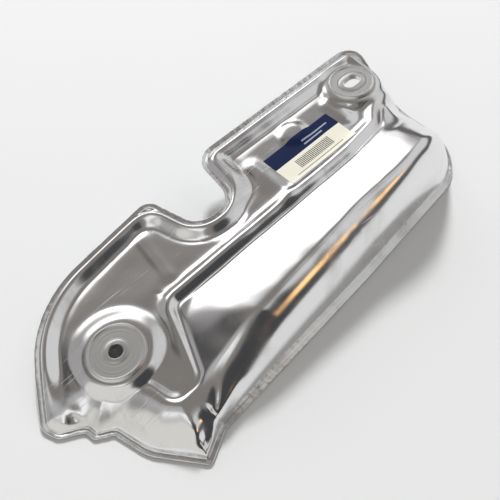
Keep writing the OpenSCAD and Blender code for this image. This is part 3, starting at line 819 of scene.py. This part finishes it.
class SHIELD_OT_fixings(bpy.types.Operator):
    """Make the washers and eyelets of both fixings"""
    bl_idname = "shield.fixings"
    bl_label = "Washers and eyelets"

    def execute(self, context):
        settings = context.scene.heat_shield
        plated = metal("Plated washer steel", settings.washer_colour, WASHER_STAIN, roughness=0.36,
                       smears=0.8, scratches=0.5, bump=0.5)
        clinched = metal("Clinched eyelet steel", settings.eyelet_colour, EYELET_STAIN, roughness=0.3,
                         smears=0.6, scratches=0.5, bump=0.4)
        for name, centre, lift, d, travel in (("lower", LOWER, LOWER_LIFT, LOWER_D, 0.0),
                                              ("upper", UPPER, UPPER_LIFT, UPPER_D, SLOT_TRAVEL)):

            def washer_travel(r, d=d, travel=travel):
                """A washer's rings turn from the slot's shape at its bore to round at its edge."""
                return travel * float(1 - ease(r, CLEAR_R + 0.5, d / 2 - CLEAR_R - 4))

            for where, face in (("front", 1), ("back", -1)):
                piece = lathe(f"{name}_{where}_disc", washer_profile(d, face), washer_travel,
                              centre, lift, plated)
                finish_piece(piece, f"{name}_{where}_washer")
            piece = lathe(f"{name}_clinch", eyelet_profile(), lambda r, t=travel: t, centre, lift, clinched)
            finish_piece(piece, f"{name}_eyelet")
        return {"FINISHED"}


# Folds pressed into the hem: scale of their noise, and its level that stays where it is
FOLD_SCALE, FOLD_LEVEL = 260, 0.62


def hem_tree():
    """Geometry nodes that sweep a flat crimped roll along the outline's curve."""
    tree, start, end = new_tree(
        "Rolled hem", "GeometryNodeTree",
        [("Geometry", "Geometry", None), ("Step", "Float", 0.6 * MM), ("Width", "Float", 3.5 * MM),
         ("Thickness", "Float", 2 * MM), ("Crimp", "Float", 0.25 * MM), ("Round", "Float", 0.5 * MM),
         ("Lean", "Float", 0.0), ("Material", "Material", None)],
        [("Geometry", "Geometry")])
    given = start.outputs
    even = wire(tree, "GeometryNodeResampleCurve", {"Curve": given["Geometry"], "Length": given["Step"]},
                mode="LENGTH")
    band = wire(tree, "GeometryNodeCurvePrimitiveQuadrilateral", {
        "Width": given["Width"], "Height": given["Thickness"]})
    soft = wire(tree, "GeometryNodeFilletCurve", {
        "Curve": band.outputs["Curve"], "Radius": given["Round"], "Count": 4}, mode="POLY")
    lean = wire(tree, "ShaderNodeCombineXYZ", {"Z": given["Lean"]})
    flat = wire(tree, "GeometryNodeTransform", {
        "Geometry": soft.outputs["Curve"], "Rotation": lean.outputs["Vector"]})
    sweep = wire(tree, "GeometryNodeCurveToMesh", {
        "Curve": even.outputs["Curve"], "Profile Curve": flat.outputs["Geometry"]})
    place = tree.nodes.new("GeometryNodeInputPosition")
    normal = tree.nodes.new("GeometryNodeInputNormal")
    folds = maths(tree, "SUBTRACT", noise(tree, place.outputs["Position"], FOLD_SCALE), FOLD_LEVEL)
    push = wire(tree, "ShaderNodeVectorMath", {
        0: normal.outputs["Normal"], "Scale": maths(tree, "MULTIPLY", folds, given["Crimp"])},
        operation="SCALE")
    move = wire(tree, "GeometryNodeSetPosition", {
        "Geometry": sweep.outputs["Mesh"], "Offset": push.outputs["Vector"]})
    shade = wire(tree, "GeometryNodeSetShadeSmooth", {"Geometry": move.outputs["Geometry"]})
    real = wire(tree, "GeometryNodeRealizeInstances", {"Geometry": shade.outputs["Geometry"]})
    skin = wire(tree, "GeometryNodeSetMaterial", {
        "Geometry": real.outputs["Geometry"], "Material": given["Material"]})
    feed(tree, end, {"Geometry": skin.outputs["Geometry"]})
    return tree


def set_input(modifier, label, value):
    for item in modifier.node_group.interface.items_tree:
        if item.item_type == "SOCKET" and item.in_out == "INPUT" and item.name == label:
            modifier[item.identifier] = value
            return
    raise ValueError(f"no input named {label}")


class SHIELD_OT_hem(bpy.types.Operator):
    """Make the rolled hem that runs round the sheet"""
    bl_idname = "shield.hem"
    bl_label = "Rolled hem"

    def execute(self, context):
        settings = context.scene.heat_shield
        loop = np.concatenate([chain(LOW, RIGHT)[:-1], chain(RIGHT, TOP)[:-1], chain(TOP, LEFT)[:-1],
                               chain(LEFT, LOW + len(OUTLINE))[:-1]])
        ruler = Ruler(np.concatenate([loop, loop[:1]]))
        plan = ruler.at(np.arange(0, ruler.length, HEM_SPACING))
        along = unit(np.roll(plan, -1, axis=0) - np.roll(plan, 1, axis=0))
        plan = plan + HEM_INSET * np.stack([-along[:, 1], along[:, 0]], -1)
        points = np.concatenate([plan, (hem_z(plan) - HEM_T / 2 + HEM_LIFT)[:, None]], 1)
        curve = bpy.data.curves.new("hem_path", "CURVE")
        curve.dimensions = "3D"
        curve.twist_mode = "Z_UP"
        spline = curve.splines.new("POLY")
        spline.points.add(len(points) - 1)
        spline.points.foreach_set("co", np.concatenate([points * MM, np.ones((len(points), 1))], 1).ravel())
        spline.use_cyclic_u = True
        path = bpy.data.objects.new("hem_path", curve)
        context.scene.collection.objects.link(path)
        skin = metal("Folded aluminium edge", settings.hem_colour, HEM_STAIN, roughness=0.2,
                     smears=1.0, scratches=0.5, bump=0.4)
        modifier = path.modifiers.new("Rolled hem", "NODES")
        modifier.node_group = hem_tree()
        for label, value in (("Material", skin), ("Width", settings.hem_width),
                             ("Thickness", settings.hem_thickness), ("Round", HEM_ROUND * MM),
                             ("Lean", math.radians(HEM_LEAN)), ("Step", HEM_STEP * MM),
                             ("Crimp", HEM_CRIMP * MM)):
            set_input(modifier, label, value)
        hem = baked(path, "rolled_hem")
        finish_piece(hem, "shield")
        return {"FINISHED"}


# Printed fields of the label, as its left, right, low and high part: band, bars, their number over the
# whole width, and thin rules, each with its colour
BAND_FIELD, BAR_FIELD, BAR_COUNT = (0.0, 1.0, 0.565, 1.0), (0.24, 0.76, 0.2, 0.47), 44.0
PAPER_NOISE, PAPER_BUMP = (420, 4, 0.6), 0.2
BAR_INK, GREY_INK, PALE_INK = (0.03, 0.03, 0.035), (0.25, 0.25, 0.23), (0.35, 0.4, 0.5)
RULES = (((0.13, 0.84, 0.1, 0.125), GREY_INK), ((0.5, 0.9, 0.76, 0.8), PALE_INK),
         ((0.5, 0.78, 0.66, 0.7), PALE_INK))


def label_material(paper, band):
    """Paper with a coloured band, dark bars and thin rules, drawn on the label's own UV map."""
    material, tree, shader = new_material("Printed paper")
    uv = wire(tree, "ShaderNodeUVMap", {}, uv_map="label")
    axes = wire(tree, "ShaderNodeSeparateXYZ", {0: uv.outputs["UV"]})
    u, v = axes.outputs["X"], axes.outputs["Y"]

    def field(left, right, low, high):
        """Mask of one rectangle."""
        sides = ((u, "GREATER_THAN", left), (u, "LESS_THAN", right),
                 (v, "GREATER_THAN", low), (v, "LESS_THAN", high))
        return maths(tree, "MULTIPLY", *(maths(tree, test, value, edge) for value, test, edge in sides))

    stripes = maths(tree, "GREATER_THAN", maths(tree, "FRACT", maths(tree, "MULTIPLY", u, BAR_COUNT)), 0.5)
    colour = paint(tree, field(*BAND_FIELD), paper, band)
    colour = paint(tree, maths(tree, "MULTIPLY", stripes, field(*BAR_FIELD)), colour, BAR_INK)
    for where, ink in RULES:
        colour = paint(tree, field(*where), colour, ink)
    place = tree.nodes.new("ShaderNodeTexCoord")
    fibres = noise(tree, place.outputs["Object"], *PAPER_NOISE)
    relief = wire(tree, "ShaderNodeBump", {"Strength": PAPER_BUMP, "Distance": BUMP_DEPTH, "Height": fibres})
    feed(tree, shader, {"Base Color": colour, "Roughness": 0.55, "Specular IOR Level": 0.3,
                        "Normal": relief.outputs["Normal"]})
    return material


class SHIELD_OT_label(bpy.types.Operator):
    """Make the paper label that lies over the plate"""
    bl_idname = "shield.label"
    bl_label = "Paper label"

    def execute(self, context):
        settings = context.scene.heat_shield
        steps = [np.linspace(0, 1, cells + 1) for cells in LABEL_CELLS]
        share = np.stack(np.meshgrid(*steps, indexing="ij"), -1)
        plan = np.array(LABEL_AT) + np.array(LABEL_SIZE) * (share - 0.5)
        low = np.concatenate([plan, (sheet_z(plan, inside(plan)) + LABEL_GAP)[..., None]], -1).reshape(-1, 3)
        paper = label_material(settings.paper_colour, settings.band_colour)
        obj = new_object("paper_label", np.concatenate([low + [0, 0, LABEL_T], low]),
                         slab_faces(*share.shape[:2]), paper)
        layer = obj.data.uv_layers.new(name="label")
        where = np.concatenate([share.reshape(-1, 2)] * 2)
        index = np.empty(len(obj.data.loops), int)
        obj.data.loops.foreach_get("vertex_index", index)
        layer.data.foreach_set("uv", where[index].ravel())
        finish_piece(obj, "label")
        return {"FINISHED"}


def view_way(right, away, up):
    """A direction given as the camera's right, the way it looks over the floor, and up."""
    x, y = FACING
    return Vector((y * right + x * away, y * away - x * right, up))


class SHIELD_OT_stage(bpy.types.Operator):
    """Make the floor, the studio light and the camera"""
    bl_idname = "shield.stage"
    bl_label = "Stage"

    def execute(self, context):
        scene = context.scene
        scene.view_settings.view_transform = "Standard"
        self.camera(scene)
        self.floor()
        self.lamp(scene)
        self.world(scene)
        return {"FINISHED"}

    def camera(self, scene):
        data = bpy.data.cameras.new("photo_camera")
        data.lens, data.sensor_width, data.clip_start = LENS, SENSOR, CLIP
        camera = bpy.data.objects.new("photo_camera", data)
        camera.location = CAMERA_AT
        dip = math.radians(CAMERA_DIP)
        camera.rotation_euler = view_way(0, math.cos(dip), -math.sin(dip)).to_track_quat("-Z", "Y").to_euler()
        scene.collection.objects.link(camera)
        scene.camera = camera

    def floor(self):
        material, tree, shader = new_material("Pale floor")
        feed(tree, shader, {"Base Color": (*FLOOR_COLOUR, 1), "Roughness": 0.7, "Specular IOR Level": 0.2})
        corners = [(x * FLOOR_HALF, y * FLOOR_HALF, 0) for x, y in ((-1, -1), (1, -1), (1, 1), (-1, 1))]
        new_object("floor", corners, [(0, 1, 2, 3)], material, False)

    def lamp(self, scene):
        data = bpy.data.lights.new("soft_lamp", "AREA")
        data.shape = "SQUARE"
        data.size, data.energy = LAMP_SIZE, LAMP_POWER
        lamp = bpy.data.objects.new("soft_lamp", data)
        lamp.location = view_way(*LAMP_WAY)
        lamp.rotation_euler = (Vector(LAMP_AIM) - lamp.location).to_track_quat("-Z", "Y").to_euler()
        lamp.visible_glossy = False
        scene.collection.objects.link(lamp)

    def world(self, scene):
        """Soft fields of colour all round, which the metal mirrors."""
        world = bpy.data.worlds.new("Studio")
        world.use_nodes = True
        tree = world.node_tree
        way = tree.nodes.new("ShaderNodeTexCoord").outputs["Generated"]
        axes = wire(tree, "ShaderNodeSeparateXYZ", {0: way})
        height = maths(tree, "ARCSINE", axes.outputs["Z"])
        colour = PLAIN_ROOM
        for patch in ROOM:
            colour = self.room_patch(tree, way, height, colour, *patch)
        feed(tree, tree.nodes["Background"], {"Color": colour})
        scene.world = world

    def room_patch(self, tree, way, height, below, bearing, half, low, high, soft, tint):
        """Paints one soft-edged field of the room, its angles in degrees, over what is below it."""
        turned = math.radians(bearing)
        across = view_way(math.cos(turned), -math.sin(turned), 0)
        along = view_way(math.sin(turned), math.cos(turned), 0)
        parts = [wire(tree, "ShaderNodeVectorMath", {0: way, 1: axis}, operation="DOT_PRODUCT")
                 for axis in (across, along)]
        swing = maths(tree, "ARCTAN2", *(part.outputs["Value"] for part in parts))
        swing = maths(tree, "ABSOLUTE", swing)

        def fade(value, edge, before, after):
            return ramp(tree, value, math.radians(edge - soft), math.radians(edge + soft), before, after)

        mask = maths(tree, "MULTIPLY", fade(swing, half, 1, 0), fade(height, low, 0, 1),
                     fade(height, high, 1, 0))
        return paint(tree, mask, below, tint)


class SHIELD_PT_panel(bpy.types.Panel):
    """Lists what makes the heat shield"""
    bl_label = "Heat shield"
    bl_idname = "SHIELD_PT_panel"
    bl_space_type = "VIEW_3D"
    bl_region_type = "UI"
    bl_category = "Heat shield"

    def draw(self, context):
        for name in ShieldSettings.__annotations__:
            self.layout.prop(context.scene.heat_shield, name)
        for operator in OPERATORS:
            self.layout.operator(operator.bl_idname)


OPERATORS = (SHIELD_OT_stage, SHIELD_OT_sheet, SHIELD_OT_hem, SHIELD_OT_fixings, SHIELD_OT_label)
CLASSES = (ShieldSettings, *OPERATORS, SHIELD_PT_panel)


def register():
    for cls in CLASSES:
        bpy.utils.register_class(cls)
    bpy.types.Scene.heat_shield = bpy.props.PointerProperty(type=ShieldSettings)


def unregister():
    del bpy.types.Scene.heat_shield
    for cls in reversed(CLASSES):
        bpy.utils.unregister_class(cls)


def main():
    register()
    bpy.ops.shield.stage()
    bpy.ops.shield.sheet()
    bpy.ops.shield.hem()
    bpy.ops.shield.fixings()
    bpy.ops.shield.label()


if __name__ == "__main__":
    main()
